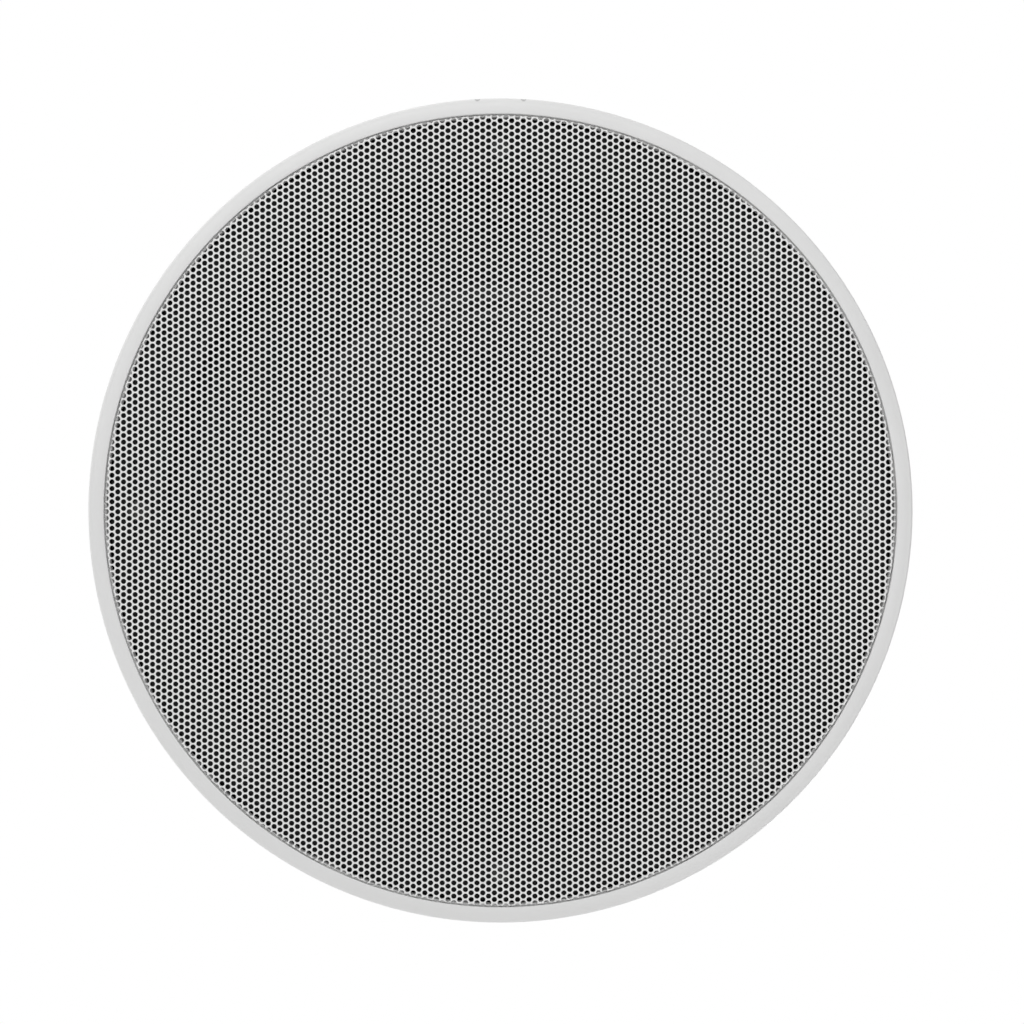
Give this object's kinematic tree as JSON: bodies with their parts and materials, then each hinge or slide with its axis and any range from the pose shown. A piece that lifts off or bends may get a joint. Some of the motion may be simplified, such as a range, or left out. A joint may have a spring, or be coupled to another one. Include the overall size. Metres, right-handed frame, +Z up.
{
  "type": "in ceiling speaker",
  "caption": "Round flush-mount ceiling loudspeaker with a perforated white grille, a coaxial woofer and tweeter, and swing-out dog-leg clamps that grip the ceiling board.",
  "frame": {"origin": "centre of the frame's ceiling collar, in the plane where the flange meets the ceiling", "axes": "+Z up into the ceiling void, along the drivers' axis; the grille faces down, to -Z; seen from the room +X is right and +Y is towards the crossover and the level switch"},
  "size_m": [0.248, 0.248, 0.0937],
  "materials": {
    "white_coated_steel": "satin powder coat",
    "white_abs": "fine moulded satin",
    "black_abs": "fine moulded grain",
    "grey_nylon": "glass-filled moulding",
    "lead_red": "soft insulation over copper",
    "lead_black": "soft insulation over copper",
    "black_coat": "black epoxy coat",
    "black_zinc": "black zinc plate",
    "foam": "closed-cell foam",
    "black_steel": "satin black coat",
    "zinc_steel": "clear zinc plate",
    "plate_steel": "turned and zinc plated",
    "rubber": "soft butyl",
    "cone_plastic": "mineral-filled satin",
    "amber_film": "clear amber film",
    "copper_wire": "enamelled copper",
    "woven_cloth": "resin-treated weave",
    "ferrite": "ground dark grey",
    "brown_board": "laminated paper board",
    "tin_plate": "bright tin",
    "dome_cloth": "coated fine weave",
    "motor_can": "black coat",
    "post_alloy": "turned",
    "green_board": "solder mask",
    "cream_nylon": "plain moulding",
    "can_sleeve": "shrink sleeve",
    "amber_case": "dipped resin",
    "white_cement": "chalky cement",
    "button_red": "plain moulding",
    "button_black": "plain moulding"
  },
  "bodies": {
    "frame": {"grille_magnets": "black_coat", "main_frame": "black_abs", "driver_gasket": "foam", "driver_basket": "black_steel", "driver_screws": "zinc_steel", "surround": "rubber", "spider": "woven_cloth", "top_plate": "plate_steel", "ferrite_magnet": "ferrite", "pole_yoke": "plate_steel", "terminal_strip": "brown_board", "terminal_tags": "tin_plate", "tweeter_waveguide": "black_abs", "tweeter_dome": "dome_cloth", "tweeter_motor": "motor_can", "tweeter_post": "post_alloy", "post_nut": "zinc_steel", "leads_red": "lead_red", "leads_black": "lead_black", "crossover_board": "green_board", "board_screws": "zinc_steel", "inductor_bobbin": "cream_nylon", "inductor_winding": "copper_wire", "electrolytic_capacitor": "can_sleeve", "film_capacitor": "amber_case", "power_resistor": "white_cement", "terminal_block": "black_abs", "switch_body": "black_abs"},
    "grille": {"grille_sheet": "white_coated_steel", "grille_rim": "white_abs"},
    "cone": {"cone": "cone_plastic", "coil_former": "amber_film", "voice_coil": "copper_wire"},
    "button_red": {"terminal_button_red": "button_red"},
    "button_black": {"terminal_button_black": "button_black"},
    "switch": {"switch_slider": "black_abs"},
    "clamp_1_screw": {"clamp_screw_1": "black_zinc", "clamp_retainer_1": "zinc_steel"},
    "clamp_1_leg": {"clamp_leg_1": "grey_nylon", "clamp_nut_1": "zinc_steel"},
    "clamp_2_screw": {"clamp_screw_2": "black_zinc", "clamp_retainer_2": "zinc_steel"},
    "clamp_2_leg": {"clamp_leg_2": "grey_nylon", "clamp_nut_2": "zinc_steel"},
    "clamp_3_screw": {"clamp_screw_3": "black_zinc", "clamp_retainer_3": "zinc_steel"},
    "clamp_3_leg": {"clamp_leg_3": "grey_nylon", "clamp_nut_3": "zinc_steel"}
  },
  "joints": [
    {"name": "grille_pull", "type": "slide", "parent": "frame", "child": "grille", "axis": [0, 0, -1], "range_m": [0, 0.04]},
    {"name": "cone_stroke", "type": "slide", "parent": "frame", "child": "cone", "axis": [0, 0, 1], "range_m": [-0.004, 0.004], "stiffness_N_per_m": 1400, "deforming": ["surround", "spider"]},
    {"name": "clamp_1_swing", "type": "hinge", "parent": "frame", "child": "clamp_1_screw", "pos_m": [0, -0.0902, 0.03], "axis": [0, 0, 1], "range_deg": [0, 90]},
    {"name": "clamp_1_travel", "type": "slide", "parent": "clamp_1_screw", "child": "clamp_1_leg", "axis": [0, 0, -1], "range_m": [0, 0.0235]},
    {"name": "clamp_2_swing", "type": "hinge", "parent": "frame", "child": "clamp_2_screw", "pos_m": [0.07812, 0.0451, 0.03], "axis": [0, 0, 1], "range_deg": [0, 90]},
    {"name": "clamp_2_travel", "type": "slide", "parent": "clamp_2_screw", "child": "clamp_2_leg", "axis": [0, 0, -1], "range_m": [0, 0.0235]},
    {"name": "clamp_3_swing", "type": "hinge", "parent": "frame", "child": "clamp_3_screw", "pos_m": [-0.07812, 0.0451, 0.03], "axis": [0, 0, 1], "range_deg": [0, 90]},
    {"name": "clamp_3_travel", "type": "slide", "parent": "clamp_3_screw", "child": "clamp_3_leg", "axis": [0, 0, -1], "range_m": [0, 0.0235]},
    {"name": "button_red_press", "type": "slide", "parent": "frame", "child": "button_red", "axis": [0, 0, -1], "range_m": [0, 0.0025], "stiffness_N_per_m": 400},
    {"name": "button_black_press", "type": "slide", "parent": "frame", "child": "button_black", "axis": [0, 0, -1], "range_m": [0, 0.0025], "stiffness_N_per_m": 400},
    {"name": "switch_slide", "type": "slide", "parent": "frame", "child": "switch", "axis": [1, 0, 0], "range_m": [-0.002, 0.002]}
  ]
}
